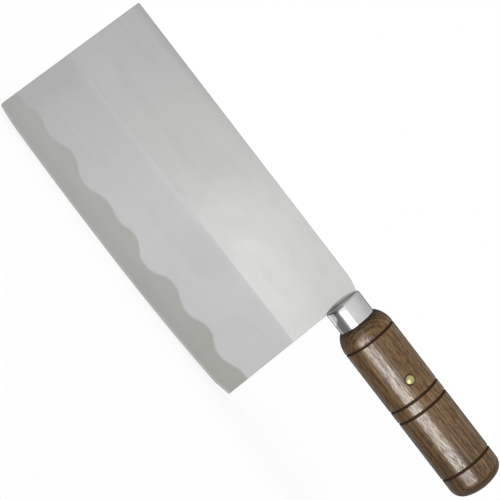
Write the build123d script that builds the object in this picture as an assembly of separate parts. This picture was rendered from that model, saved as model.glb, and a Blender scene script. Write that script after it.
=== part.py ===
# A Chinese cleaver: a tall flat blade, a drawn ferrule and a turned round handle.
#
# The knife stands on its edge, as it does on the board at the end of a cut. X runs from the
# blade's front to the handle's butt, Y runs through the blade's thickness and Z runs from
# the edge up to the spine. While a piece is drawn, X counts from the ferrule's front face
# and Z from the handle's axis, because blade, ferrule and handle all meet there. The
# finished pieces are then moved so that the origin lies under the middle of the knife.
import os
from math import radians, sqrt, tan

from build123d import *

# Blade outline. Rises are measured up from the lowest point of the edge.
blade_length = 215.0          # front corner to heel corner
heel_overhang = 3.0           # heel corner behind the ferrule's front face
rear_edge_overhang = 0.9      # rear edge's upper end behind the ferrule's front face
spine_height = 12.45          # spine above the handle's axis
edge_depth = 89.6             # lowest point of the edge below the handle's axis
belly_place = 115.0           # lowest point of the edge behind the front corner
toe_length = 17.7             # stretch at the front where the edge turns up
toe_start_rise = 1.45
front_corner_rise = 3.1
front_lean = 2.0              # the front leans back this much on its way up to the spine
clip_length = 10.8            # straight stretch of edge in front of the heel corner
clip_start_rise = 2.5
heel_corner_rise = 4.8
neck_length = 11.1            # stretch of spine that curves down to the ferrule
neck_drop = 1.95
front_top_radius = 0.8
front_bottom_radius = 1.5
heel_corner_radius = 0.6
clip_blend_radius = 20.0

# Blade section
blade_thickness = 2.2
grind_line_front = 36.8       # below the handle's axis, where the lower face starts to thin
grind_line_heel = 36.0
ground_thickness = 0.6        # what the long grind leaves at the level of the edge
edge_bevel_angle = 14.0       # degrees on each side, the sharpened bevel

# Tang
tang_thickness = 2.0          # a little less than the blade, which bears on the ferrule
tang_beyond_pin = 14.8        # end of the tang behind the pin
tang_root_top = 9.5           # above the handle's axis
tang_root_height = 15.0
tang_end_height = 8.0
tang_end_radius = 2.5

# Ferrule
ferrule_radius = 11.75
ferrule_length = 15.1
ferrule_wall = 0.9
ferrule_face = 1.0            # thickness of the closed front
ferrule_front_radius = 1.3
ferrule_rim_radius = 0.35     # the smoothed rear rim
slot_clearance = 0.1          # round the tang where it enters the ferrule
underside_clearance = 0.15    # between the ferrule and the blade's rear edge below it

# Handle
butt_place = 138.35           # end of the handle behind the ferrule's front face
handle_radius = 16.95
shoulder_radius = 12.6        # the wood's radius where it meets the ferrule's rear rim
shoulder_length = 11.0
butt_round_radius = 8.5
butt_dome_radius = 30.0
tenon_clearance = 0.05        # between the tenon and the ferrule's wall
groove_places = (11.4, 54.5, 62.7, 105.1)   # behind the ferrule's rear rim
groove_width = 1.7
groove_depth = 0.9

# Tang pocket in the wood
pocket_width = 5.0
pocket_margin = 0.6           # above and below the tang's root
pocket_end_room = 2.5         # beyond the end of the tang

# Pin
pin_place = 43.0              # behind the ferrule's rear rim
pin_height = 4.3              # above the handle's axis
pin_radius = 2.0
pin_clearance = 0.05
pin_head_radius = 3.2
pin_head_side = 1.2           # straight side of the head, under its dome
pin_dome_rise = 0.9
pin_seat_depth = 0.25         # the head's seat below the lowest wood round it

overrun = 5.0                 # how far a cutting body runs past what it cuts

# Places worked out from the sizes above
front_place = heel_overhang - blade_length
edge_height = -edge_depth
half_blade = blade_thickness / 2
half_tang = tang_thickness / 2
pin_along = ferrule_length + pin_place
tang_end = pin_along + tang_beyond_pin
tang_end_top = pin_height + tang_end_height / 2
tang_root_bottom = tang_root_top - tang_root_height
pocket_top = tang_root_top + pocket_margin
pocket_bottom = tang_root_bottom - pocket_margin
pocket_end = tang_end + pocket_end_room
bore_radius = pin_radius + pin_clearance
tenon_radius = ferrule_radius - ferrule_wall - tenon_clearance
pin_seat = sqrt(handle_radius**2 - (pin_height + pin_head_radius) ** 2) - pin_seat_depth
pin_side_end = pin_seat + pin_head_side


def along_pin(radius, half_length):
    """A round body on the pin's axis, the same length to both sides of the blade."""
    circle = Plane.XZ * (Pos(pin_along, pin_height) * Circle(radius))
    return extrude(circle, half_length, both=True)


def blade_face():
    """The blade's side view without its tang, as a flat face."""
    front_corner = (front_place, edge_height + front_corner_rise)
    toe_start = (front_place + toe_length, edge_height + toe_start_rise)
    belly = (front_place + belly_place, edge_height)
    clip_start = (heel_overhang - clip_length, edge_height + clip_start_rise)
    heel_corner = (heel_overhang, edge_height + heel_corner_rise)
    step_height = -ferrule_radius - underside_clearance
    rear_top = (rear_edge_overhang, step_height)
    step = (0, step_height)
    neck_end = (0, spine_height - neck_drop)
    neck_start = (-neck_length, spine_height)
    front_top = (front_place + front_lean, spine_height)

    belly_front = TangentArc(belly, toe_start, tangent=(-1, 0))
    toe = TangentArc(toe_start, front_corner, tangent=belly_front % 1)
    belly_rear = TangentArc(belly, clip_start, tangent=(1, 0))
    rear = Polyline(clip_start, heel_corner, rear_top, step, neck_end)
    neck = TangentArc(neck_start, neck_end, tangent=(1, 0))
    top = Polyline(neck_start, front_top, front_corner)
    face = make_face(belly_front + toe + belly_rear + rear + neck + top)
    for place, radius in (
        (front_corner, front_bottom_radius),
        (front_top, front_top_radius),
        (heel_corner, heel_corner_radius),
        (clip_start, clip_blend_radius),
    ):
        corner = face.vertices().sort_by_distance((*place, 0))[0]
        face = fillet(corner, radius)
    return Plane.XZ * face


def blade_plate():
    """The blade without its tang: parallel above the grind line, thinning below it."""
    face = blade_face()
    straight = extrude(face, half_blade, dir=(0, 1, 0))
    # The sharpened bevel is the side view pulled sideways and upwards at the bevel's slope
    lift = 1 / tan(radians(edge_bevel_angle))
    slanted = extrude(face, half_blade * sqrt(1 + lift**2), dir=(0, 1, lift))
    # The long grind is a plane through the grind line on the blade's side
    thinning = (half_blade - ground_thickness / 2) / (edge_depth - grind_line_front)
    line_slope = (grind_line_heel - grind_line_front) / blade_length
    ground = Plane(
        origin=(front_place, half_blade, -grind_line_front),
        z_dir=(-thinning * line_slope, 1, -thinning),
    )
    half = split(straight & slanted, bisect_by=ground, keep=Keep.BOTTOM)
    return half + mirror(half, about=Plane.XZ)


def tang():
    """The tapered tongue that runs back through the ferrule into the handle."""
    outline = Polyline(
        (-overrun, tang_root_top),
        (0, tang_root_top),
        (tang_end, tang_end_top),
        (tang_end, tang_end_top - tang_end_height),
        (0, tang_root_bottom),
        (-overrun, tang_root_bottom),
        close=True,
    )
    face = make_face(outline)
    face = fillet(face.vertices().group_by(Axis.X)[-1], tang_end_radius)
    return extrude(Plane.XZ * face, half_tang, both=True)


def blade():
    """Plate and tang are one piece of steel, with a hole through the tang for the pin."""
    return blade_plate() + tang() - along_pin(bore_radius, half_blade + overrun)


def ferrule():
    """A drawn cup with a closed front, and a slot there for the tang."""
    side = make_face(
        Polyline(
            (0, 0),
            (0, ferrule_radius),
            (ferrule_length, ferrule_radius),
            (ferrule_length, ferrule_radius - ferrule_wall),
            (ferrule_face, ferrule_radius - ferrule_wall),
            (ferrule_face, 0),
            close=True,
        )
    )
    for place, radius in (
        ((0, ferrule_radius), ferrule_front_radius),
        ((ferrule_length, ferrule_radius), ferrule_rim_radius),
    ):
        corner = side.vertices().sort_by_distance((*place, 0))[0]
        side = fillet(corner, radius)
    cup = revolve(side, Axis.X)
    slot_height = tang_root_height + 2 * slot_clearance
    slot_middle = (tang_root_top + tang_root_bottom) / 2
    slot_size = Rectangle(tang_thickness + 2 * slot_clearance, slot_height)
    slot = Plane.YZ * (Pos(0, slot_middle) * slot_size)
    return cup - extrude(slot, ferrule_face + overrun, both=True)


def turned_wood():
    """The handle's turned shape, from the end of its tenon to its butt."""
    # The butt is a shallow dome that runs into a tighter round, tangent to the straight side
    inner_radius = butt_dome_radius - butt_round_radius
    round_height = handle_radius - butt_round_radius
    dome_middle = butt_place - butt_dome_radius
    round_offset = sqrt(inner_radius**2 - round_height**2)
    round_start = (dome_middle + round_offset, handle_radius)
    reach = butt_dome_radius / inner_radius
    dome_start = (dome_middle + round_offset * reach, round_height * reach)

    shoulder_end = (ferrule_length + shoulder_length, handle_radius)
    shoulder_start = (ferrule_length, shoulder_radius)
    shoulder = TangentArc(shoulder_end, shoulder_start, tangent=(-1, 0))
    butt_round = TangentArc(round_start, dome_start, tangent=(1, 0))
    butt_dome = TangentArc(dome_start, (butt_place, 0), tangent=butt_round % 1)
    tenon = Polyline(
        (butt_place, 0),
        (ferrule_face, 0),
        (ferrule_face, tenon_radius),
        (ferrule_length, tenon_radius),
        shoulder_start,
    )
    side = Line(shoulder_end, round_start)
    return revolve(make_face(tenon + shoulder + side + butt_round + butt_dome), Axis.X)


def groove(place):
    """One burnt groove round the handle: a sharp V."""
    middle = ferrule_length + place
    outline = Polyline(
        (middle - groove_width / 2, handle_radius),
        (middle, handle_radius - groove_depth),
        (middle + groove_width / 2, handle_radius),
        (middle + groove_width / 2, handle_radius + overrun),
        (middle - groove_width / 2, handle_radius + overrun),
        close=True,
    )
    return revolve(make_face(outline), Axis.X)


def tang_pocket():
    """The bore for the tang: a round-ended slot, from the tenon's end past the tang."""
    height = pocket_top - pocket_bottom
    slot = SlotOverall(height, pocket_width, rotation=90)
    section = Plane.YZ.offset(ferrule_face) * (Pos(0, (pocket_top + pocket_bottom) / 2) * slot)
    return extrude(section, pocket_end - ferrule_face)


def handle():
    """The wood, with its grooves, the tang's pocket and the pin's stepped bore."""
    wood = turned_wood() - tang_pocket()
    for place in groove_places:
        wood -= groove(place)
    wood -= along_pin(bore_radius, handle_radius + overrun)
    head_bores = along_pin(pin_head_radius + pin_clearance, handle_radius + overrun)
    return wood - (head_bores - along_pin(pin_head_radius + overrun, pin_seat))


def tang_bedding():
    """The resin that fills the pocket round the tang."""
    filling = tang_pocket() - tang()
    return filling - along_pin(bore_radius, handle_radius)


def dome_point():
    """The middle of the arc over a pin head, from its rise and the head's radius."""
    radius = (pin_head_radius**2 + pin_dome_rise**2) / (2 * pin_dome_rise)
    half_width = pin_head_radius / 2
    drop = radius - sqrt(radius**2 - half_width**2)
    return (half_width, pin_side_end + pin_dome_rise - drop)


def handle_pin():
    """The pin through wood and tang, with a domed head on each side."""
    profile = Polyline(
        (0, 0),
        (pin_radius, 0),
        (pin_radius, pin_seat),
        (pin_head_radius, pin_seat),
        (pin_head_radius, pin_side_end),
    )
    dome = ThreePointArc(
        (pin_head_radius, pin_side_end),
        dome_point(),
        (0, pin_side_end + pin_dome_rise),
    )
    axis = Line((0, pin_side_end + pin_dome_rise), (0, 0))
    half_pin = revolve(make_face(profile + dome + axis), Axis.Y)
    half_pin = Pos(pin_along, 0, pin_height) * half_pin
    return half_pin + mirror(half_pin, about=Plane.XZ)


pieces = {
    "blade": blade(),
    "ferrule": ferrule(),
    "handle": handle(),
    "tang_bedding": tang_bedding(),
    "handle_pin": handle_pin(),
}

# The origin goes under the middle of the whole knife, level with the edge's lowest point
box = Compound(list(pieces.values())).bounding_box()
to_origin = Pos(-(box.min.X + box.max.X) / 2, 0, -box.min.Z)

os.makedirs("parts", exist_ok=True)
for name, piece in pieces.items():
    export_step(to_origin * piece, f"parts/{name}.step")
print("handle's axis at Z", round(-box.min.Z, 3))
print("ferrule's front at X", round(-(box.min.X + box.max.X) / 2, 3))
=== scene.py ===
# %% [markdown]
# # A Chinese cleaver
# This is a tall kitchen cleaver lying still for its portrait. It has a broad steel blade that
# narrows to a tang, a polished metal ferrule, a turned wooden handle with burnt grooves, and a
# brass pin that holds the tang. The measured model gives the shapes and places, and each step
# below gives one piece its finished shape and surface.

import math

import bmesh
import bpy
from mathutils import Matrix, Vector


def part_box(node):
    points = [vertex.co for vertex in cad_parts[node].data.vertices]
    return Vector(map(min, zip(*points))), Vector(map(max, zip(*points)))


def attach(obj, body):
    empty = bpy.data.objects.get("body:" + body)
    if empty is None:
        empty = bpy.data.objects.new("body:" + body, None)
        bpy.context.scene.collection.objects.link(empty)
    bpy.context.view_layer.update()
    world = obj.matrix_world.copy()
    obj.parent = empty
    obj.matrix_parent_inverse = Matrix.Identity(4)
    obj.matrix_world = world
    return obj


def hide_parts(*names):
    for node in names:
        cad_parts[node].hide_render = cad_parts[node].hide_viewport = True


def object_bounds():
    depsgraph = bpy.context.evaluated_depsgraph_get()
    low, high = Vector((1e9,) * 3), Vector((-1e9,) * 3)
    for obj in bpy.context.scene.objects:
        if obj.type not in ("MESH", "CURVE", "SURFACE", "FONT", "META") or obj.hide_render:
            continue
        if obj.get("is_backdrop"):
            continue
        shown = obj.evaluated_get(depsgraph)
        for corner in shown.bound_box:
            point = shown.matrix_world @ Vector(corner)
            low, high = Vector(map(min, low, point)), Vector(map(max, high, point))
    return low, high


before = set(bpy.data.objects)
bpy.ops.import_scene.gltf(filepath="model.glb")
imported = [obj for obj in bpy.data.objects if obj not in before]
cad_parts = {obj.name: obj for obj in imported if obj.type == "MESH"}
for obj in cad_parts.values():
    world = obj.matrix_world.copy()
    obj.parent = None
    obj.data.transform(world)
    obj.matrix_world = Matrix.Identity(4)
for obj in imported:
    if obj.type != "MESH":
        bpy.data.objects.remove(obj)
size_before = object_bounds()
print("measured nodes:", ", ".join(sorted(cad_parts)))

# %% [markdown]
# ## Landmarks
# The knife stands on its cutting edge. X runs from the blade's front to the handle's butt, Z runs
# up to the spine, and the viewer stands on the side of minus Y. Blender counts in metres, so a
# size in millimetres is written as so many times mm. Every later step needs the handle's axis and
# the place of the ferrule's front face, so they are taken from the model once.

# %% Landmarks
mm = 0.001

blade_low, blade_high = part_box("blade")
ferrule_low, ferrule_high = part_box("ferrule")
handle_low, handle_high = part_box("handle")
pin_low, pin_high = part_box("handle_pin")
bedding_low, bedding_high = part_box("tang_bedding")

axis_height = (handle_low.z + handle_high.z) / 2
handle_radius = (handle_high.z - handle_low.z) / 2
ferrule_front = ferrule_low.x
ferrule_rear = ferrule_high.x
ferrule_radius = (ferrule_high.z - ferrule_low.z) / 2


def span(low, high):
    """The reach between two places that are given in millimetres."""
    return low * mm, high * mm


print(
    f"axis {axis_height / mm:.1f} mm up, ferrule from {ferrule_front / mm:.1f} "
    f"to {ferrule_rear / mm:.1f} mm, handle {2 * handle_radius / mm:.1f} mm thick"
)

# %% [markdown]
# ## Where the viewer stands
# The knife is seen from far off and almost square to the blade, a little from the blade's front
# and a little from above; both angles are in radians. The viewer's head is tilted, so that the
# knife points to the upper left. A long lens keeps the blade's outline nearly free of perspective.

# %% Camera
looked_at = Vector((-20.05, 0, 65.8)) * mm
view_distance = 2.32
swing = 0.14
dip = 0.032
head_tilt = math.radians(52.65)
lens_length = 288
sensor_width = 36

view_line = Vector(
    (
        math.sin(swing) * math.cos(dip),
        math.cos(swing) * math.cos(dip),
        -math.sin(dip),
    )
)
level_right = Vector((math.cos(swing), -math.sin(swing), 0))
level_up = level_right.cross(view_line)
view_right = math.cos(head_tilt) * level_right + math.sin(head_tilt) * level_up
view_up = math.cos(head_tilt) * level_up - math.sin(head_tilt) * level_right

camera = bpy.data.objects.new("camera", bpy.data.cameras.new("camera"))
bpy.context.scene.collection.objects.link(camera)
camera.data.lens = lens_length
camera.data.sensor_width = sensor_width
turn = Matrix((view_right, view_up, -view_line)).transposed()
camera.matrix_world = Matrix.Translation(
    looked_at - view_distance * view_line
) @ turn.to_4x4()
bpy.context.scene.camera = camera
print("camera at", [round(c, 3) for c in camera.matrix_world.translation])

# %% [markdown]
# ## Small tools for shaders
# A surface is drawn by joined shader nodes. These few functions make one node and wire it up, so
# that each material further on reads as a short list of what the surface does.

# %% Nodes and wires


def wire(tree, socket, value):
    """Joins a node's output to a socket, or sets the socket to a plain value."""
    if isinstance(value, bpy.types.NodeSocket):
        tree.links.new(value, socket)
    else:
        socket.default_value = value


def wire_all(tree, made, inputs):
    """Joins or sets several inputs of one node, by name or by place."""
    for place, value in dict(inputs).items():
        wire(tree, made.inputs[place], value)


def shader(tree, kind, inputs=(), **settings):
    """One shader node with its settings and its inputs."""
    made = tree.nodes.new("ShaderNode" + kind)
    for name, value in settings.items():
        setattr(made, name, value)
    wire_all(tree, made, inputs)
    return made


def empty_tree(owner):
    """The node tree of a material or a world, with nothing in it yet."""
    owner.use_nodes = True
    owner.node_tree.nodes.clear()
    return owner.node_tree


print("nodes can be made and joined")

# %% Sums


def calc(tree, operation, *values):
    """The result of one sum."""
    return shader(tree, "Math", enumerate(values), operation=operation).outputs[0]


def plus(tree, first, *others):
    """Values added up."""
    for other in others:
        first = calc(tree, "ADD", first, other)
    return first


def times(tree, first, *others):
    """Values multiplied."""
    for other in others:
        first = calc(tree, "MULTIPLY", first, other)
    return first


def opposite(tree, share):
    """What a share leaves of 1."""
    return calc(tree, "SUBTRACT", 1.0, share)


def rise(tree, value, low, high):
    """0 below low, 1 above high and a soft step between them."""
    made = shader(
        tree,
        "MapRange",
        {"Value": value, "From Min": low, "From Max": high},
        interpolation_type="SMOOTHSTEP",
    )
    return made.outputs["Result"]


def fall(tree, value, low, high):
    """1 below low, 0 above high and a soft step between them."""
    return opposite(tree, rise(tree, value, low, high))


def between(tree, share, low, high):
    """A value from low to high, by a share from 0 to 1."""
    made = shader(tree, "MapRange", {"Value": share, "To Min": low, "To Max": high})
    return made.outputs["Result"]


def ramp(tree, value, reach, start, end):
    """The start before a reach, the end beyond it and a soft passage between them."""
    return between(tree, rise(tree, value, *reach), start, end)


print("sums can be made")

# %% Colours and coordinates


def vector_calc(tree, operation, inputs, output=0):
    """The result of one sum on coordinates or colours."""
    return shader(tree, "VectorMath", inputs, operation=operation).outputs[output]


def blend_colours(tree, share, first, second):
    """The first colour where share is 0, and the second where it is 1."""
    made = shader(tree, "Mix", {0: share, 6: first, 7: second}, data_type="RGBA")
    return made.outputs[2]


def shade_colour(tree, colour, factor):
    """A colour made lighter or darker by a factor."""
    return vector_calc(tree, "SCALE", {0: colour, "Scale": factor})


def parts_of(tree, vector):
    """The three parts of coordinates or a direction: along the knife, sideways and up."""
    return shader(tree, "SeparateXYZ", {0: vector}).outputs


def stretch(tree, vector, along, across):
    """Coordinates scaled along and across the knife: large numbers make fine patterns."""
    return vector_calc(tree, "MULTIPLY", {0: vector, 1: (along, across, across)})


def off_line(tree, place, measured, centre):
    """The distance from a line through the centre; measured is 0 along the line, and else 1."""
    flat = vector_calc(tree, "MULTIPLY", {0: place, 1: measured})
    return vector_calc(tree, "DISTANCE", {0: flat, 1: centre}, "Value")


def faces(tree, normal, part):
    """How squarely the surface faces one way, from 0 to 1; part is 0 for X and 1 for Y."""
    geometry = shader(tree, "NewGeometry").outputs
    return calc(tree, "ABSOLUTE", parts_of(tree, geometry[normal])[part])


def cloud(tree, vector, detail=3.0, roughness=0.5, distortion=0.0):
    """Noise about 0.5, one feature wide for each unit of the coordinates."""
    made = shader(
        tree,
        "TexNoise",
        {
            "Vector": vector,
            "Scale": 1.0,
            "Detail": detail,
            "Roughness": roughness,
            "Distortion": distortion,
        },
    )
    return made.outputs[0]


print("colours, coordinates and noise can be made")

# %% Groups and materials


def new_group(name, inputs, outputs):
    """An empty node group with named inputs and outputs."""
    group = bpy.data.node_groups.new(name, "ShaderNodeTree")
    for label, kind, value in inputs:
        made = group.interface.new_socket(
            label, in_out="INPUT", socket_type="NodeSocket" + kind
        )
        if value is not None:
            made.default_value = value
    for label in outputs:
        group.interface.new_socket(
            label, in_out="OUTPUT", socket_type="NodeSocketFloat"
        )
    entry = group.nodes.new("NodeGroupInput")
    exit_node = group.nodes.new("NodeGroupOutput")
    return group, entry.outputs, exit_node.inputs


def use_group(tree, group, inputs):
    """A node group used in a material, as its outputs."""
    made = shader(tree, "Group", node_tree=group)
    wire_all(tree, made, inputs)
    return made.outputs


def new_material(name):
    """A material with an empty tree, its surface shader and the object's own coordinates."""
    material = bpy.data.materials.new(name)
    tree = empty_tree(material)
    surface = shader(tree, "BsdfPrincipled")
    shader(tree, "OutputMaterial", {"Surface": surface.outputs[0]})
    place = shader(tree, "TexCoord").outputs["Object"]
    return material, tree, surface, place


def add_relief(tree, surface, height, strength, depth):
    """Fine relief on a surface: a height of 1 stands as high as depth."""
    bump = shader(
        tree, "Bump", {"Height": height, "Strength": strength, "Distance": depth}
    )
    wire(tree, surface.inputs["Normal"], bump.outputs[0])


def dress(piece, material):
    """Gives a piece its one material."""
    piece.data.materials.clear()
    piece.data.materials.append(material)


print("groups and materials can be made")

# %% [markdown]
# ## The table and the light
# The knife stands on a plain pale table in front of a white wall. The table keeps the knife's
# shadow faint, because most of its own brightness doesn't depend on the lamps. Even light comes
# from all round and fades towards the back. Straight behind the knife is a darker gap, which gives
# round metal and wood their dark outlines, and the floor of the room is dark too, which gives the
# ferrule its dark band.
#
# Polished surfaces are read from what they mirror, so each kind has lamps of its own. A strong soft
# box draws the long white band on the lacquered wood, and a dimmer one draws it on the ferrule and
# the pin. Two fills, one on each side, light the wood without showing in its lacquer. Two cards are
# mirrored by metal fittings only: one behind the knife lightens the ferrule's front face, and a
# small one low down lightens its lower front corner. The blade mirrors a large grey card, which
# grows lighter towards the handle, glows a little there and is a little darker at the top.

# %% Table
table_size = 6.0
table_shine = 0.76
table_paint = 0.36
table_drop = 0.02 * mm


def in_scene(name, shape):
    """An object in the scene, made from a finished bmesh."""
    data = bpy.data.meshes.new(name)
    shape.to_mesh(data)
    shape.free()
    made = bpy.data.objects.new(name, data)
    bpy.context.scene.collection.objects.link(made)
    return made


table_shape = bmesh.new()
bmesh.ops.create_grid(table_shape, x_segments=1, y_segments=1, size=table_size / 2)
table = in_scene("table", table_shape)
table.location.z = -table_drop
table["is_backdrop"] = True

table_top = bpy.data.materials.new("pale_table")
tree = empty_tree(table_top)
own_light = shader(tree, "Emission", {"Strength": table_shine})
paint = shader(tree, "BsdfDiffuse", {"Color": (table_paint,) * 3 + (1,)})
both = shader(tree, "AddShader", {0: own_light.outputs[0], 1: paint.outputs[0]})
shader(tree, "OutputMaterial", {"Surface": both.outputs[0]})
dress(table, table_top)
table.visible_glossy = False
table.visible_diffuse = False
table.visible_shadow = False
print("table", table_size, "m wide")

# %% Light from all round
front_light = 0.79
back_light = 0.57
floor_light = 0.19
gap_light = 0.15
front_to_back = (-1.0, 0.5)
floor_edge = (-0.93, -0.66)
gap_edge = (0.76, 0.9)

bpy.context.scene.view_settings.view_transform = "Standard"
world = bpy.data.worlds.new("room")
bpy.context.scene.world = world
tree = empty_tree(world)
seen = shader(tree, "LightPath").outputs["Is Camera Ray"]
direction = shader(tree, "TexCoord").outputs["Generated"]
_, backwards, upwards = parts_of(tree, direction)
strength = ramp(tree, backwards, front_to_back, front_light, back_light)
strength = between(tree, fall(tree, upwards, *floor_edge), strength, floor_light)
strength = ramp(tree, backwards, gap_edge, strength, gap_light)
strength = calc(tree, "MAXIMUM", strength, seen)
room = shader(tree, "Background", {"Color": (1, 1, 1, 1), "Strength": strength})
shader(tree, "OutputWorld", {"Surface": room.outputs[0]})
print("light from", front_light, "in front to", gap_light, "in the gap")

# %% Soft boxes
box_distance = 0.9
near_side, far_side = -1, 1
fill_reach = (-0.2, 0.4)
card_radiance = 0.5
low_card_place = Vector((10.5, 33, -60)) * mm
low_card_turn = -0.14
wooden = bpy.data.collections.new("wooden_pieces")
fittings = bpy.data.collections.new("metal_fittings")


def soft_box(name, side, across, upright, radiance, lit, shines=True):
    """A lamp beside the knife that lights some pieces only, with its reach in X and in Z.

    One that shines shows in polished surfaces, and one that doesn't only lights dull ones.
    """
    lamp = bpy.data.lights.new(name, "AREA")
    lamp.shape = "RECTANGLE"
    lamp.size = across[1] - across[0]
    lamp.size_y = upright[1] - upright[0]
    lamp.energy = radiance * math.pi * lamp.size * lamp.size_y
    made = bpy.data.objects.new(name, lamp)
    made.location = (sum(across) / 2, side * box_distance, sum(upright) / 2)
    made.rotation_euler = (side * -math.pi / 2, 0, 0)
    made.visible_camera = False
    made.visible_glossy = shines
    made.visible_diffuse = not shines
    made.light_linking.receiver_collection = lit
    bpy.context.scene.collection.objects.link(made)
    made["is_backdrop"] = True
    print(name, round(lamp.size, 2), "by", round(lamp.size_y, 2), "m")
    return made


soft_box(
    "soft_box_wood",
    near_side,
    across=(-0.7, 1.0),
    upright=(-0.90, 0.045),
    radiance=10.8,
    lit=wooden,
)
soft_box(
    "soft_box_metal",
    near_side,
    across=(0.168, 0.9),
    upright=(-0.86, 0.0),
    radiance=1.9,
    lit=fittings,
)
for name, side, radiance in (("fill_near", near_side, 4.0), ("fill_far", far_side, 3.5)):
    soft_box(name, side, fill_reach, fill_reach, radiance, wooden, shines=False)
soft_box("back_card", far_side, (-0.25, 0.03), fill_reach, card_radiance, fittings)

# The low card lies flat, lower than the ferrule and beyond it, and faces up.
low_card = soft_box(
    "low_card", far_side, (-0.009, 0.009), (-0.045, 0.045), card_radiance, fittings
)
low_card.location = Vector((ferrule_front, 0, axis_height)) + low_card_place
low_card.rotation_euler = (math.pi, 0, low_card_turn)

# %% Blade card
boxes_to_card = 20 * mm
card_distance = box_distance + boxes_to_card
card_reach = ((-0.35, -0.45), (0.27, -0.45), (0.27, 0.5), (-0.35, 0.5))
card_dim, card_light = 0.70, 0.92
card_fade = (-0.09, 0.07)
top_fade, top_shade = (0.03, 0.14), 0.08
glow_middle = (0.115, -card_distance, 0.035)
glow_reach, glow_light = 0.1, 0.26

card_shape = bmesh.new()
card_shape.faces.new(
    [card_shape.verts.new((x, -card_distance, z)) for x, z in card_reach]
)
card = in_scene("blade_card", card_shape)
card.visible_camera = False
card.visible_diffuse = False
card.visible_shadow = False
card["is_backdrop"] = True

card_paint = bpy.data.materials.new("blade_card")
tree = empty_tree(card_paint)
spot = shader(tree, "TexCoord").outputs["Object"]
sideways, _, upwards = parts_of(tree, spot)
even = calc(
    tree,
    "SUBTRACT",
    ramp(tree, sideways, card_fade, card_dim, card_light),
    times(tree, rise(tree, upwards, *top_fade), top_shade),
)
off_glow = vector_calc(tree, "DISTANCE", {0: spot, 1: glow_middle}, "Value")
near_glow = fall(tree, off_glow, 0.0, glow_reach)
shine = calc(tree, "MULTIPLY_ADD", near_glow, glow_light, even)
glow = shader(tree, "Emission", {"Strength": shine})
shader(tree, "OutputMaterial", {"Surface": glow.outputs[0]})
dress(card, card_paint)
print("blade card from", card_dim, "to", card_light)

# %% [markdown]
# ## Turned pieces
# The ferrule, the handle and the pin are round, so each could come off a lathe. One function turns
# an outline about an axis. The outline is a list of points, each with its place along the axis and
# its radius, and it starts and ends on the axis.

# %% Lathe
turned_sides = 192
corner_angle = math.radians(32)


def turned(name, outline, place, sides=turned_sides):
    """A round piece: the outline turned about X, then moved by the matrix place."""
    made = bmesh.new()
    rings = []
    for along, radius in outline:
        if radius == 0:
            rings.append([made.verts.new((along, 0, 0))])
            continue
        ring = []
        for side in range(sides):
            angle = 2 * math.pi * side / sides
            ring.append(
                made.verts.new(
                    (along, radius * math.cos(angle), radius * math.sin(angle))
                )
            )
        rings.append(ring)
    for first, second in zip(rings, rings[1:]):
        for side in range(sides):
            after = (side + 1) % sides
            if len(first) == 1:
                corners = (first[0], second[after], second[side])
            elif len(second) == 1:
                corners = (first[side], first[after], second[0])
            else:
                corners = (first[side], first[after], second[after], second[side])
            made.faces.new(corners)
    bmesh.ops.recalc_face_normals(made, faces=made.faces)
    made.transform(place)
    return in_scene(name, made)


def arc(centre, radius, start, end, steps):
    """Points of an arc in an outline; the angles are in degrees, and 90 is off the axis."""
    points = []
    for step in range(steps + 1):
        angle = math.radians(start + (end - start) * step / steps)
        points.append(
            (
                centre[0] + radius * math.cos(angle),
                centre[1] + radius * math.sin(angle),
            )
        )
    return points


print("lathe ready,", turned_sides, "sides")

# %% Cutting and smoothing
overrun = 1 * mm


def block(name, low, high):
    """A plain block between two corners, used only to cut a slot or a pocket."""
    made = bmesh.new()
    bmesh.ops.create_cube(made, size=1)
    middle = (Vector(low) + Vector(high)) / 2
    spread = Vector(high) - Vector(low)
    made.transform(Matrix.Translation(middle) @ Matrix.Diagonal((*spread, 1)))
    return in_scene(name, made)


def cut_away(piece, cutter):
    """Takes the cutter's space out of the piece, and the cutter out of the scene."""
    cut = piece.modifiers.new("cut", "BOOLEAN")
    cut.operation = "DIFFERENCE"
    cut.solver = "EXACT"
    cut.object = cutter
    bpy.context.view_layer.update()
    shaped = bpy.data.meshes.new_from_object(
        piece.evaluated_get(bpy.context.evaluated_depsgraph_get())
    )
    piece.modifiers.clear()
    piece.data = shaped
    bpy.data.objects.remove(cutter)


def soften(piece):
    """Smooth shading, with a crisp line wherever two faces meet at a real corner."""
    piece.data.polygons.foreach_set("use_smooth", [True] * len(piece.data.polygons))
    piece.data.set_sharp_from_angle(angle=corner_angle)


print("cutters run", round(overrun / mm, 1), "mm past the surface")

# %% [markdown]
# ## The blade
# The blade and its tang are one piece of sheet steel. Its measured faces are kept, and only the
# edges that a grinder would break are rounded: the spine, the front, the heel and the neck. The
# cutting edge, the narrow bevel beside it and the line where the grinding starts stay crisp.

# %% Blade
broken_edge = 0.16 * mm
broken_steps = 2
square_corner = math.radians(40)
thick_enough = 0.4 * mm
flat_side = 0.9
same_point = 0.001 * mm
same_plane = math.radians(0.08)
grind_corner = math.radians(0.4)


def is_side(face):
    """True for the broad faces on both sides, the ground ones among them."""
    return abs(face.normal.y) > flat_side


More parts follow.
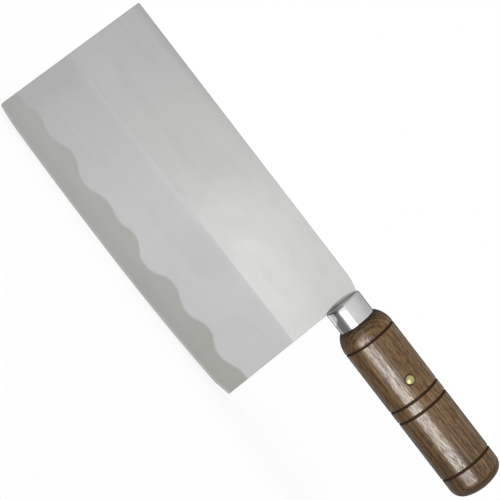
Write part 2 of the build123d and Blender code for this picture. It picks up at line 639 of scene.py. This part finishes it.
steel = bmesh.new()
steel.from_mesh(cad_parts["blade"].data)
bmesh.ops.remove_doubles(steel, verts=steel.verts, dist=same_point)
bmesh.ops.dissolve_limit(
    steel, angle_limit=same_plane, verts=steel.verts, edges=steel.edges
)
rounded = [
    edge
    for edge in steel.edges
    if len(edge.link_faces) == 2
    and edge.calc_face_angle() > square_corner
    and sum(is_side(face) for face in edge.link_faces) == 1
    and min(abs(vert.co.y) for vert in edge.verts) > thick_enough
]
bmesh.ops.bevel(
    steel,
    geom=rounded,
    offset=broken_edge,
    offset_type="OFFSET",
    segments=broken_steps,
    profile=0.5,
    affect="EDGES",
    clamp_overlap=False,
)
steel.normal_update()
for edge in steel.edges:
    if len(edge.link_faces) == 2:
        angle = edge.calc_face_angle()
        on_side = all(is_side(face) for face in edge.link_faces)
        edge.smooth = angle < corner_angle and not (on_side and angle > grind_corner)
for face in steel.faces:
    face.smooth = True
blade = in_scene("cleaver_blade", steel)
weighting = blade.modifiers.new("flat_sides_stay_flat", "WEIGHTED_NORMAL")
weighting.keep_sharp = True
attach(blade, "root")
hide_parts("blade")
print("blade has", len(blade.data.polygons), "faces,", len(rounded), "edges broken")

# %% [markdown]
# ## The ferrule
# The ferrule is a drawn cap of thin bright metal. Its closed front has a slot for the tang and
# bears on the blade's end, and its open rear grips the handle's tenon. The front corner is well
# rounded and the rear rim is only turned over, as drawing and trimming leave them.

# %% Ferrule
ferrule_length = ferrule_rear - ferrule_front
ferrule_wall = 0.9 * mm
ferrule_face = 1.0 * mm
front_round, front_steps = 1.3 * mm, 10
rim_round, rim_steps = 0.35 * mm, 6
slot_half_width = 1.1 * mm
slot_under, slot_over = 5.6 * mm, 9.6 * mm
on_axis = Matrix.Translation((ferrule_front, 0, axis_height))

front_centre = (front_round, ferrule_radius - front_round)
rim_centre = (ferrule_length - rim_round, ferrule_radius - rim_round)
ferrule_outline = (
    [(0, 0)]
    + arc(front_centre, front_round, 180, 90, front_steps)
    + arc(rim_centre, rim_round, 90, 0, rim_steps)
    + [
        (ferrule_length, ferrule_radius - ferrule_wall),
        (ferrule_face, ferrule_radius - ferrule_wall),
        (ferrule_face, 0),
    ]
)
ferrule = turned("bright_ferrule", ferrule_outline, on_axis)
slot = block(
    "slot",
    (ferrule_front - overrun, -slot_half_width, axis_height - slot_under),
    (ferrule_front + ferrule_face + overrun, slot_half_width, axis_height + slot_over),
)
cut_away(ferrule, slot)
soften(ferrule)
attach(ferrule, "root")
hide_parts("ferrule")
print("ferrule has", len(ferrule.data.polygons), "faces")

# %% [markdown]
# ## The handle
# The handle is turned from one billet. A tenon fits the ferrule, a full shoulder swells out behind
# it, and the butt is domed. Four V grooves are cut with a pointed tool and then burnt by holding a
# wire against the turning wood, which also eases their lips.

# %% Handle's sizes
shoulder_radius = 12.6 * mm
shoulder_length = 11 * mm
shoulder_lip = 0.25 * mm
lip_angle = 0.8
butt_dome = 30 * mm
butt_round = 8.5 * mm
round_steps, dome_steps = 24, 16
tenon_room = 0.05 * mm
groove_places = [place * mm for place in (11.4, 54.5, 62.7, 105.1)]
groove_half = 0.85 * mm
groove_depth = 0.9 * mm
groove_floor = 0.12 * groove_half
groove_lip = 0.22 * mm
lip_start, lip_end = 0.2 * groove_lip, 1.1 * groove_lip

tenon_radius = ferrule_radius - ferrule_wall - tenon_room
swell = handle_radius - shoulder_radius
shoulder_arc = (shoulder_length**2 + swell**2) / (2 * swell)
shoulder_angle = math.degrees(math.asin(shoulder_length / shoulder_arc))
shoulder_centre = (ferrule_length + shoulder_length, handle_radius - shoulder_arc)
butt_place = handle_high.x - ferrule_front
dome_centre = butt_place - butt_dome
round_height = handle_radius - butt_round
round_place = dome_centre + math.sqrt((butt_dome - butt_round) ** 2 - round_height**2)
meeting_angle = math.degrees(math.atan2(round_height, round_place - dome_centre))
print("the butt's dome meets its rounding at", round(meeting_angle, 1), "degrees")

# %% Handle


def grooved(place):
    """One groove's outline with eased lips, and a short straight stretch beside each."""
    middle = ferrule_length + place
    front_half = [
        (-groove_half - 2 * groove_lip, handle_radius),
        (-groove_half - groove_lip, handle_radius),
        (-groove_half, handle_radius - lip_start),
        (-groove_half + groove_lip, handle_radius - lip_end),
        (-groove_floor, handle_radius - groove_depth),
    ]
    rear_half = [(-along, radius) for along, radius in reversed(front_half)]
    return [(middle + along, radius) for along, radius in front_half + rear_half]


shoulder_start = 90 + shoulder_angle - lip_angle
handle_outline = (
    [
        (ferrule_face, 0),
        (ferrule_face, tenon_radius),
        (ferrule_length, tenon_radius),
        (ferrule_length, shoulder_radius - shoulder_lip),
    ]
    + arc(shoulder_centre, shoulder_arc, shoulder_start, 90, round_steps)
    + [point for place in groove_places for point in grooved(place)]
    + arc((round_place, round_height), butt_round, 90, meeting_angle, round_steps)
    + arc((dome_centre, 0), butt_dome, meeting_angle, 0, dome_steps)[1:-1]
    + [(butt_place, 0)]
)
handle = turned("turned_handle", handle_outline, on_axis)
cut_away(handle, block("pocket", bedding_low, bedding_high))
print("handle has", len(handle.data.polygons), "faces")

# %% [markdown]
# ## The pin
# A brass rod goes through handle and tang, and each end is riveted over into a low dome. The dome
# sits in a shallow seat, so that its rim shows as a thin dark ring in the wood.

# %% Pin
pin_centre = (pin_low + pin_high) / 2
pin_reach = (pin_high.y - pin_low.y) / 2
pin_shank = 2 * mm
pin_head = (pin_high.z - pin_low.z) / 2
pin_sides = 96
head_side = 1.2 * mm
dome_rise = 0.9 * mm
rim_angle, rim_ease = 3, 0.12 * mm
rivet_steps = 14
across = Matrix.Translation(pin_centre) @ Matrix.Rotation(math.pi / 2, 4, "Z")

seat_place = pin_reach - dome_rise - head_side
rivet_dome = (pin_head**2 + dome_rise**2) / (2 * dome_rise)
rivet_angle = math.degrees(math.asin(pin_head / rivet_dome))
rivet_centre = (pin_reach - rivet_dome, 0)
far_end = (
    [(pin_reach, 0)]
    + arc(rivet_centre, rivet_dome, 0, rivet_angle - rim_angle, rivet_steps)[1:]
    + [
        (seat_place + head_side - rim_ease, pin_head),
        (seat_place, pin_head),
        (seat_place, pin_shank),
    ]
)
near_end = [(-along, radius) for along, radius in reversed(far_end)]
pin = turned("brass_pin", far_end + near_end, across, sides=pin_sides)
soften(pin)
print("pin reaches", round(2 * pin_reach / mm, 1), "mm across")

# %% Pin's seats and bore
seat_room = 0.05 * mm
bore_sides = 48


def drilled(name, start, end, radius, sides):
    """A round cutter across the handle, from start to end."""
    outline = [(start, 0), (start, radius), (end, radius), (end, 0)]
    return turned(name, outline, across, sides=sides)


seat_radius = pin_head + seat_room
bore_radius = pin_shank + seat_room
for side in (near_side, far_side):
    seat_end = side * (handle_radius + overrun)
    cut_away(
        handle, drilled("seat", side * seat_place, seat_end, seat_radius, pin_sides)
    )
cut_away(handle, drilled("bore", -pin_reach, pin_reach, bore_radius, bore_sides))
soften(handle)
wooden.objects.link(handle)
for piece in (pin, ferrule):
    fittings.objects.link(piece)
for piece, node, slot in (
    (handle, "handle", "handle_wood"),
    (pin, "handle_pin", "pin_brass"),
):
    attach(piece, "root")
    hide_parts(node)
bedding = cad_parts["tang_bedding"]
print("drilled handle has", len(handle.data.polygons), "faces")

# %% [markdown]
# ## Marks that several surfaces share
# Steel, bright metal, brass and lacquer all pick up marks in a kitchen: long fine scratches from
# wiping, and dull patches from hands and dried water. Steel and bright metal also keep the fine
# lines of the tool that finished them. Each kind of mark is one node group, which only says where
# the mark is and how strong.

# %% Wiping scratches
wipe_angle = math.radians(13)
scratch_edge = (0.66, 0.74)
scratched_edge = (0.5, 0.62)
scratch_relief = 0.01 * mm


def finer(tree, vector, factor):
    """Coordinates that make every pattern finer by a factor."""
    return vector_calc(tree, "SCALE", {0: vector, "Scale": factor})


scratches, given, result = new_group(
    "wiping_scratches",
    [("Vector", "Vector", None), ("Scale", "Float", 1.0)],
    ["Mask"],
)
wiped_way = shader(
    scratches,
    "VectorRotate",
    {"Vector": given["Vector"], "Angle": wipe_angle},
    rotation_type="Y_AXIS",
).outputs[0]
scaled = finer(scratches, wiped_way, given["Scale"])
lines = cloud(scratches, stretch(scratches, scaled, 22, 1500), detail=2.0)
areas = cloud(scratches, stretch(scratches, scaled, 70, 70), detail=1.0)
scratch_mask = times(
    scratches,
    rise(scratches, lines, *scratch_edge),
    rise(scratches, areas, *scratched_edge),
)
wire(scratches, result["Mask"], scratch_mask)


def wiped_by(tree, place, scale):
    """Where wiping left scratches."""
    return use_group(tree, scratches, {"Vector": place, "Scale": scale})["Mask"]


print("group", scratches.name)

# %% Handling marks
patch_edge = (0.44, 0.66)

handling, given, result = new_group(
    "handling_marks",
    [("Vector", "Vector", None), ("Scale", "Float", 1.0)],
    ["Mask"],
)
scaled = finer(handling, given["Vector"], given["Scale"])
patches = cloud(
    handling, stretch(handling, scaled, 22, 34), detail=4.0, roughness=0.55, distortion=0.6
)
wire(handling, result["Mask"], rise(handling, patches, *patch_edge))


def handled(tree, place, scale):
    """Where hands and dried water left dull patches."""
    return use_group(tree, handling, {"Vector": place, "Scale": scale})["Mask"]


print("group", handling.name)

# %% Fibre streaks
streak_roughness = 0.6

fibres, given, result = new_group(
    "fibre_streaks",
    [
        ("Vector", "Vector", None),
        ("Along", "Float", 10.0),
        ("Across", "Float", 1000.0),
        ("Detail", "Float", 3.0),
    ],
    ["Value"],
)
parts = parts_of(fibres, given["Vector"])
drawn = shader(
    fibres,
    "CombineXYZ",
    {
        0: times(fibres, parts[0], given["Along"]),
        1: times(fibres, parts[1], given["Across"]),
        2: times(fibres, parts[2], given["Across"]),
    },
).outputs[0]
wire(fibres, result["Value"], cloud(fibres, drawn, given["Detail"], streak_roughness))


def tool_lines(tree, place, along, across, detail):
    """Fine lines of a belt or a lathe tool, as noise about 0.5."""
    given = {"Vector": place, "Along": along, "Across": across, "Detail": detail}
    return use_group(tree, fibres, given)["Value"]


print("group", fibres.name)

# %% [markdown]
# ## Blade steel
# The blade has four finishes. The upper part is brushed along the knife, and the ground part below
# it is smoother and a little hazy. The lowest part is a matt polish that ends in a hand-drawn wave,
# and the narrow bevel beside the cutting edge is freshly ground. The wave could be painted as an
# image, but here it is one curve through a few points, which stays sharp at any size.

# %% Wave line of the matt polish
wave_front, wave_heel = blade_low.x, 44 * mm
wave_top = 30 * mm
wave_points = [
    (-174.9, 15.0),
    (-167.0, 14.8),
    (-157.3, 17.2),
    (-143.5, 14.9),
    (-136.6, 16.6),
    (-128.4, 18.9),
    (-109.9, 13.5),
    (-91.9, 17.8),
    (-86.2, 16.8),
    (-79.1, 16.1),
    (-68.8, 18.4),
    (-60.1, 15.5),
    (-51.4, 12.4),
    (-42.7, 14.4),
    (-31.0, 18.9),
    (-21.8, 16.3),
    (-14.0, 14.8),
    (2.2, 19.2),
    (9.5, 16.7),
    (18.0, 14.6),
    (27.0, 16.6),
    (35.5, 19.0),
    (44.0, 18.0),
]


def wave_height(tree, along):
    """The wave's height above the cutting edge's lowest point, at a place along the blade."""
    share = shader(
        tree,
        "MapRange",
        {"Value": along, "From Min": wave_front, "From Max": wave_heel},
    ).outputs["Result"]
    drawn = shader(tree, "FloatCurve", {"Value": share})
    points = drawn.mapping.curves[0].points
    length = wave_heel - wave_front
    places = [((x * mm - wave_front) / length, z * mm / wave_top) for x, z in wave_points]
    points[0].location = places[0]
    points[1].location = places[-1]
    for place in places[1:-1]:
        points.new(*place)
    drawn.mapping.update()
    return times(tree, drawn.outputs[0], wave_top)


print("wave drawn through", len(wave_points), "places")

# %% Where each finish of the blade lies
grind_front, grind_heel = 52.8 * mm, 53.3 * mm
grind_blur = span(-0.15, 0.15)
wave_blur = span(-0.9, 0.9)
wave_wander = span(-0.4, 0.4)
bevel_facing = (0.975, 0.985)

blade_steel, tree, surface, place = new_material("blade_steel")
along, _, height = parts_of(tree, place)
grind_height = shader(
    tree,
    "MapRange",
    {
        "Value": along,
        "From Min": blade_low.x,
        "From Max": ferrule_front,
        "To Min": grind_front,
        "To Max": grind_heel,
    },
).outputs["Result"]
over_grind = calc(tree, "SUBTRACT", height, grind_height)
above_grind = rise(tree, over_grind, *grind_blur)
wander = cloud(tree, stretch(tree, place, 260, 260))
over_wave = plus(
    tree,
    calc(tree, "SUBTRACT", height, wave_height(tree, along)),
    between(tree, wander, *wave_wander),
)
above_wave = rise(tree, over_wave, *wave_blur)
on_bevel = fall(tree, faces(tree, "True Normal", 1), *bevel_facing)
print("blade's finishes are laid out")

# %% [markdown]
# The belt left long streaks and fine ones, which are weaker on the ground part, and the wheel left
# soft bands. Hands left faint patches, and the front half of the spine is a little darker. All of
# them change one number, the tone that the steel's colour is multiplied by.

# %% Brushing, haze and wear of the blade
smooth_share = 0.35
streak_tone, haze_tone = 0.10, 0.05
mark_tone = 0.02
spine_strip = 6 * mm
spine_fade = span(-130, -60)
spine_tone = 0.12


def about_zero(tree, noise):
    """Noise moved from about 0.5 to about 0."""
    return calc(tree, "SUBTRACT", noise, 0.5)


long_streaks = tool_lines(tree, place, along=9.0, across=900.0, detail=4.0)
fine_streaks = tool_lines(tree, place, along=30.0, across=3600.0, detail=2.0)
wheel_bands = cloud(tree, stretch(tree, place, 7, 120), distortion=0.4)
haze = cloud(
    tree, stretch(tree, place, 55, 140), detail=5.0, roughness=0.6, distortion=0.8
)
marks = handled(tree, place, scale=1.0)
wiped = wiped_by(tree, place, scale=1.0)

streaks = times(
    tree,
    plus(tree, about_zero(tree, long_streaks), about_zero(tree, fine_streaks)),
    between(tree, above_grind, smooth_share, 1.0),
)
clouding = plus(tree, about_zero(tree, wheel_bands), about_zero(tree, haze))
by_spine = times(
    tree,
    rise(tree, height, blade_high.z - spine_strip, blade_high.z),
    fall(tree, along, *spine_fade),
)
tone = plus(
    tree,
    1.0,
    times(tree, streaks, streak_tone),
    times(tree, clouding, haze_tone),
    times(tree, marks, -mark_tone),
    times(tree, by_spine, -spine_tone),
)
print("brushing and wear are ready")

# %% [markdown]
# Each finish has a grey of its own, which changes slowly along the blade. The brushed part is
# painted lighter just above the grind line near the handle, a painted sheen for the light it
# mirrors there. The masks from the cells above then choose the finish at each spot.

# %% Colours of the blade
brushed_front = (0.65, 0.65, 0.65, 1)
brushed_middle = (0.65, 0.65, 0.635, 1)
brushed_with_sheen = (0.745, 0.745, 0.73, 1)
brushed_fade = span(-150, -90)
sheen_along, sheen_up = span(-78, -25), span(6, 36)
sheen_low, sheen_high = 0.95, 0.3
hazy_front = (0.595, 0.595, 0.595, 1)
hazy_middle = (0.635, 0.635, 0.635, 1)
hazy_heel = (0.58, 0.58, 0.58, 1)
hazy_front_fade, hazy_heel_fade = span(-168, -150), span(-90, -20)
hazy_top, hazy_top_light = span(-4, 0), 1.05
matt_front = (0.52, 0.515, 0.50, 1)
matt_heel = (0.415, 0.415, 0.39, 1)
matt_climb = span(3, 13)
matt_low, matt_high = 0.99, 1.04
fresh = (0.56, 0.56, 0.55, 1)

brushed = blend_colours(
    tree, rise(tree, along, *brushed_fade), brushed_front, brushed_middle
)
# Painted sheen: the brushed grey is painted lighter near the heel, just above the grind line.
painted_heel_sheen = times(
    tree,
    rise(tree, along, *sheen_along),
    ramp(tree, over_grind, sheen_up, sheen_low, sheen_high),
)
brushed = blend_colours(tree, painted_heel_sheen, brushed, brushed_with_sheen)
hazy = blend_colours(tree, rise(tree, along, *hazy_front_fade), hazy_front, hazy_middle)
hazy = blend_colours(tree, rise(tree, along, *hazy_heel_fade), hazy, hazy_heel)
hazy = shade_colour(tree, hazy, ramp(tree, over_grind, hazy_top, 1.0, hazy_top_light))
matt = blend_colours(
    tree, rise(tree, along, blade_low.x, ferrule_front), matt_front, matt_heel
)
matt = shade_colour(tree, matt, ramp(tree, height, matt_climb, matt_low, matt_high))
colour = blend_colours(tree, above_grind, hazy, brushed)
colour = blend_colours(tree, above_wave, matt, colour)
colour = blend_colours(tree, on_bevel, colour, fresh)
colour = shade_colour(tree, colour, tone)
print("blade's colours are ready")

# %% [markdown]
# Beside the ferrule a grey lens stands for the ferrule's mirrored front, which steel as rough as
# this would blur away, and a little grime lies in the joint.

# %% Ferrule mirrored in the blade, and the joint
mirrored_ferrule = (0.26, 0.26, 0.255, 1)
mirrored_reach = 2.3 * mm
mirrored_edge = (0.72, 1.04)
mirrored_share = 0.55
joint_grime = (0.16, 0.155, 0.15, 1)
joint_edge = (ferrule_front - 0.7 * mm, ferrule_front - 0.1 * mm)
joint_share = 0.35

before_ferrule = calc(tree, "SUBTRACT", ferrule_front, along)
off_axis = calc(
    tree, "DIVIDE", calc(tree, "SUBTRACT", height, axis_height), ferrule_radius
)
lens = plus(
    tree,
    calc(tree, "DIVIDE", before_ferrule, mirrored_reach),
    times(tree, off_axis, off_axis),
)
mirrored = fall(tree, lens, *mirrored_edge)
joint = times(tree, rise(tree, along, *joint_edge), mirrored)
colour = blend_colours(
    tree, times(tree, mirrored, mirrored_share), colour, mirrored_ferrule
)
colour = blend_colours(tree, times(tree, joint, joint_share), colour, joint_grime)
print("mirrored ferrule reaches", round(mirrored_reach / mm, 1), "mm")

# %% [markdown]
# The matt polish is the roughest part of the blade and the ground part is the smoothest. The
# streaks and the scratches also stand in very fine relief, so that light catches on them.

# %% Shine and relief of the blade
ground_rough, brushed_rough = 0.17, 0.2
streak_rough = 0.10
matt_rough = 0.08
mark_rough = 0.03
scratch_depth = 0.6
brushing_strength = 0.25

roughness = plus(
    tree,
    between(tree, above_grind, ground_rough, brushed_rough),
    times(tree, streaks, streak_rough),
    times(tree, opposite(tree, above_wave), matt_rough),
    times(tree, marks, mark_rough),
)
wire_all(
    tree, surface, {"Base Color": colour, "Roughness": roughness, "Metallic": 1.0}
)
brushing = plus(tree, streaks, times(tree, wiped, -scratch_depth))
add_relief(tree, surface, brushing, brushing_strength, scratch_relief)
dress(blade, blade_steel)
print("blade steel ready")

# %% [markdown]
# ## Bright metal of the ferrule
# The ferrule is polished until it mirrors the room, so its shape is read from what it reflects.
# Wiping leaves fine lines round it, and dull patches soften the mirror a little. The lower half of
# its front corner and a thin line along its front rim are painted darker, as painted shade for dark
# reflections.

# %% Painted shade of the ferrule
corner_below, corner_above = span(1.5, 5.0), span(7.5, 10.5)
corner_end = (ferrule_front + 0.8 * mm, ferrule_front + 3.2 * mm)
rim_below = span(-1.0, 2.0)
rim_out = (ferrule_radius - front_round, ferrule_radius - 0.7 * mm)
rim_end = (ferrule_front + 0.6 * mm, ferrule_front + front_round)

ferrule_metal, tree, surface, place = new_material("ferrule_chrome")
along, _, height = parts_of(tree, place)
under_axis = calc(tree, "SUBTRACT", axis_height, height)
off_axis = off_line(tree, place, (0, 1, 1), (0, 0, axis_height))
# Painted shade: dark reflections on the lower front corner and along the front rim are painted into
# the colour.
painted_corner_shade = times(
    tree,
    rise(tree, under_axis, *corner_below),
    fall(tree, under_axis, *corner_above),
    fall(tree, along, *corner_end),
)
painted_rim_shade = times(
    tree,
    rise(tree, under_axis, *rim_below),
    rise(tree, off_axis, *rim_out),
    fall(tree, along, *rim_end),
)
painted_ferrule_shade = calc(tree, "MAXIMUM", painted_corner_shade, painted_rim_shade)
print("grime lies on the ferrule's front", round(front_round / mm, 1), "mm rounding")

# %% Ferrule metal
bright_metal = (0.745, 0.745, 0.745)
mark_tone, painted_shade_tone = 0.05, 0.62
clean_rough, marked_rough = 0.1, 0.15
wiped_rough = 0.12
turning_depth = 0.4
turning_strength = 0.15

marks = handled(tree, place, scale=3.0)
wiped = wiped_by(tree, place, scale=1.6)
turning_lines = tool_lines(tree, place, along=2600.0, across=12.0, detail=2.0)
tone = plus(tree, 1.0, times(tree, marks, -mark_tone), times(tree, painted_ferrule_shade, -painted_shade_tone))
roughness = plus(
    tree,
    between(tree, marks, clean_rough, marked_rough),
    times(tree, wiped, wiped_rough),
)
wire_all(
    tree,
    surface,
    {
        "Base Color": shade_colour(tree, bright_metal, tone),
        "Roughness": roughness,
        "Metallic": 1.0,
    },
)
turning = calc(tree, "SUBTRACT", times(tree, turning_lines, turning_depth), wiped)
add_relief(tree, surface, turning, turning_strength, scratch_relief)
dress(ferrule, ferrule_metal)
print("ferrule metal ready")

# %% [markdown]
# ## Wood of the handle
# The handle is a dense brown tropical wood under clear lacquer. The tree's pith lies towards the
# far side, so the lathe cuts the growth rings into long arches. Open pores run along the handle as
# short dark lines, and a few pale lines run with them. The grain fills the whole block of wood and
# isn't laid on its skin, so it runs on over the shoulder and the butt as it does in real wood.

# %% Wood grain
pith_place = 14 * mm
ring_width = 1.4 * mm
ring_bend = 1.6
ring_darkens, ring_ends = (0.3, 0.8), (0.88, 1.0)
pore_edge, pore_group_edge = (0.5, 0.6), (0.34, 0.5)
pale_edge = (0.6, 0.72)

grain, given, result = new_group(
    "wood_grain",
    [("Vector", "Vector", None)],
    ["Rings", "Pores", "Streaks", "Pale"],
)
inside = given["Vector"]
bending = cloud(grain, stretch(grain, inside, 16, 70), detail=2.0)
from_pith = off_line(grain, inside, (0, 1, 1), (0, pith_place, axis_height))
ring_count = plus(
    grain,
    calc(grain, "DIVIDE", from_pith, ring_width),
    times(grain, bending, ring_bend),
)
ring_place = calc(grain, "FRACT", ring_count)
pore_lines = cloud(grain, stretch(grain, inside, 260, 2600), detail=2.0)
pore_groups = cloud(grain, stretch(grain, inside, 60, 300), detail=2.0)
pale_lines = cloud(grain, stretch(grain, inside, 16, 900), detail=1.0)
late_wood = times(
    grain, rise(grain, ring_place, *ring_darkens), fall(grain, ring_place, *ring_ends)
)
pores = times(
    grain,
    rise(grain, pore_lines, *pore_edge),
    rise(grain, pore_groups, *pore_group_edge),
)
streaks = cloud(grain, stretch(grain, inside, 170, 1350), detail=4.0, roughness=0.72)
wire(grain, result["Rings"], late_wood)
wire(grain, result["Pores"], pores)
wire(grain, result["Streaks"], streaks)
wire(grain, result["Pale"], rise(grain, pale_lines, *pale_edge))
print("group", grain.name)

# %% [markdown]
# The wood is mixed from a light and a dark brown, and reddish mottling, pale lines and pores are
# laid over it. Where the shoulder and the butt curve away, the pale early wood of the growth rings
# shows as faint arcs.

# %% Colours of the wood
light_wood = (0.222, 0.132, 0.055, 1)
dark_wood = (0.058, 0.028, 0.009, 1)
red_wood = (0.110, 0.044, 0.016, 1)
pale_wood = (0.320, 0.212, 0.115, 1)
pore_brown = (0.035, 0.018, 0.009, 1)
ring_share, streak_share = 0.36, 0.64
streak_edge = (0.38, 0.62)
mottle_edge, mottle_share = (0.48, 0.7), 0.6
pale_share, pore_share = 0.6, 0.6
early_edge, arch_lean, arch_share = (0.0, 0.3), (0.03, 0.25), 0.2

handle_wood, tree, surface, place = new_material("handle_wood")
wood = use_group(tree, grain, {"Vector": place})
lean = faces(tree, "Normal", 0)
mottle = cloud(tree, stretch(tree, place, 60, 210), detail=4.0, roughness=0.6)
dark_share = plus(
    tree,
    times(tree, wood["Rings"], ring_share),
    times(tree, rise(tree, wood["Streaks"], *streak_edge), streak_share),
)
early_wood = fall(tree, wood["Rings"], *early_edge)
arches = times(tree, early_wood, rise(tree, lean, *arch_lean))
colour = blend_colours(tree, dark_share, light_wood, dark_wood)
for mask, share, added in (
    (rise(tree, mottle, *mottle_edge), mottle_share, red_wood),
    (wood["Pale"], pale_share, pale_wood),
    (wood["Pores"], pore_share, pore_brown),
    (arches, arch_share, pale_wood),
):
    colour = blend_colours(tree, times(tree, mask, share), colour, added)
print("wood's own colours are ready")

# %% [markdown]
# End grain drinks more lacquer, so the shoulder and the butt are darker. The wood also darkens
# towards the butt, and grime and painted shade darken it beside the ferrule and round the pin. The
# grooves are burnt almost black, and the burn fades out unevenly over their lips.

# %% Age, painted shade and burning of the wood
end_grain_lean, end_grain_tone = (0.05, 0.55), 0.58
# Grime and painted shade: the wood beside the ferrule's rear and round the pin is darker.
ferrule_rim, ferrule_rim_tone = (ferrule_rear, ferrule_rear + 3 * mm), 0.35
# The wood darkens towards the butt.
darker_towards_butt = (ferrule_rear + 42 * mm, ferrule_rear + 112 * mm)
butt_end_tone = 0.8
pin_rim, pin_rim_tone = (pin_head, pin_head + 0.8 * mm), 0.45
burnt_brown = (0.036, 0.017, 0.007, 1)
burnt_reach, burnt_wander = span(0.52, 1.12), span(-0.35, 0.35)

along = parts_of(tree, place)[0]
off_pin = off_line(tree, place, (1, 0, 1), (pin_centre.x, 0, pin_centre.z))
for value, reach, start, end in (
    (lean, end_grain_lean, 1.0, end_grain_tone),
    (along, ferrule_rim, ferrule_rim_tone, 1.0),
    (along, darker_towards_butt, 1.0, butt_end_tone),
    (off_pin, pin_rim, pin_rim_tone, 1.0),
):
    colour = shade_colour(tree, colour, ramp(tree, value, reach, start, end))
off_groove = 1.0
for groove in groove_places:
    off = calc(tree, "SUBTRACT", along, ferrule_rear + groove)
    off_groove = calc(tree, "MINIMUM", off_groove, calc(tree, "ABSOLUTE", off))
uneven = cloud(tree, stretch(tree, place, 150, 420))
off_groove = plus(tree, off_groove, between(tree, uneven, *burnt_wander))
burnt = fall(tree, off_groove, *burnt_reach)
colour = blend_colours(tree, burnt, colour, burnt_brown)
print("wood is aged and", len(groove_places), "grooves are burnt")

# %% [markdown]
# The lacquer is a coat over the wood. It doesn't fill the pores, it burnt off in the grooves, and
# it is thin on end grain and where hands have rubbed, so each of these takes some of its shine.

# %% Lacquer and relief of the wood
filled_rough, pore_rough, burnt_rough = 0.3, 0.55, 0.15
pore_bare, burnt_bare = 0.8, 0.95
marked_coat = 0.8
streak_bare, streak_coat = (0.36, 0.6), 0.6
worn_lean, worn_coat = (0.02, 0.34), 0.1
lacquer_rough = 0.2
lacquer_ior = 1.5
bare_specular = 0.1
streak_depth = 0.4
grain_strength = 0.4
grain_depth = 0.05 * mm

marks = handled(tree, place, scale=1.5)
lacquer = times(
    tree,
    opposite(tree, times(tree, wood["Pores"], pore_bare)),
    opposite(tree, times(tree, burnt, burnt_bare)),
    between(tree, marks, 1.0, marked_coat),
    ramp(tree, wood["Streaks"], streak_bare, 1.0, streak_coat),
    ramp(tree, lean, worn_lean, 1.0, worn_coat),
)
roughness = plus(
    tree,
    between(tree, wood["Pores"], filled_rough, pore_rough),
    times(tree, burnt, burnt_rough),
)
wire_all(
    tree,
    surface,
    {
        "Base Color": colour,
        "Roughness": roughness,
        "Specular IOR Level": bare_specular,
        "Coat Weight": lacquer,
        "Coat Roughness": lacquer_rough,
        "Coat IOR": lacquer_ior,
    },
)
fibre_height = calc(
    tree, "SUBTRACT", times(tree, wood["Streaks"], streak_depth), wood["Pores"]
)
add_relief(tree, surface, fibre_height, grain_strength, grain_depth)
dress(handle, handle_wood)
print("handle wood ready")

# %% [markdown]
# ## Brass of the pin
# The riveted heads were filed and buffed with the handle, and since then the brass has dulled to an
# olive yellow. It is darkest at the rim, as tarnish and painted shade.

# %% Pin brass
buffed_brass = (0.62, 0.53, 0.27, 1)
dull_brass = (0.12, 0.09, 0.03, 1)
rim_tarnish_and_shade = (0.66 * pin_head, 0.92 * pin_head)
mark_tarnish = 0.5
buffed_rough, dull_rough = 0.22, 0.45
scratch_strength = -0.2

pin_brass, tree, surface, place = new_material("pin_brass")
marks = handled(tree, place, scale=6.0)
wiped = wiped_by(tree, place, scale=1.3)
off_centre = off_line(tree, place, (1, 0, 1), (pin_centre.x, 0, pin_centre.z))
# Tarnish and painted shade: the outer band of each dome is painted dull and dark.
tarnish_and_shade = calc(
    tree,
    "MAXIMUM",
    rise(tree, off_centre, *rim_tarnish_and_shade),
    times(tree, marks, mark_tarnish),
)
wire_all(
    tree,
    surface,
    {
        "Base Color": blend_colours(tree, tarnish_and_shade, buffed_brass, dull_brass),
        "Roughness": between(tree, tarnish_and_shade, buffed_rough, dull_rough),
        "Metallic": 1.0,
    },
)
add_relief(tree, surface, wiped, scratch_strength, scratch_relief)
dress(pin, pin_brass)
print("pin brass ready")

# %% [markdown]
# ## Resin round the tang
# The tang is bedded in dark resin inside the handle. It can't be seen in a whole knife, and it has
# its own surface for anyone who takes the handle off: a dull brown with a few small bubbles.

# %% Bedding resin
dark_resin = (0.045, 0.026, 0.014, 1)
light_resin = (0.085, 0.050, 0.026, 1)
bubble_edge = (0.12, 0.22)
dark_rough, light_rough = 0.35, 0.5
bubble_strength = 0.4
bubble_depth = 0.2 * mm

bedding_resin, tree, surface, place = new_material("bedding_resin")
flow = cloud(tree, stretch(tree, place, 160, 160), detail=4.0)
bubbles = shader(
    tree, "TexVoronoi", {"Vector": stretch(tree, place, 420, 420), "Scale": 1.0}
).outputs["Distance"]
pits = fall(tree, bubbles, *bubble_edge)
wire_all(
    tree,
    surface,
    {
        "Base Color": blend_colours(tree, flow, dark_resin, light_resin),
        "Roughness": between(tree, flow, dark_rough, light_rough),
    },
)
pitted = calc(tree, "SUBTRACT", flow, pits)
add_relief(tree, surface, pitted, bubble_strength, bubble_depth)
dress(bedding, bedding_resin)
print("bedding resin ready")

# %% [markdown]
# ## Last look
# The finished pieces must be as large as the measured model, so both sizes are written down.

# %% Sizes and end
size_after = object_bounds()
for name, before, after in zip("XYZ", *(
    [high - low for low, high in zip(*size)] for size in (size_before, size_after)
)):
    print(name, round(before / mm, 2), "mm measured,", round(after / mm, 2), "mm built")
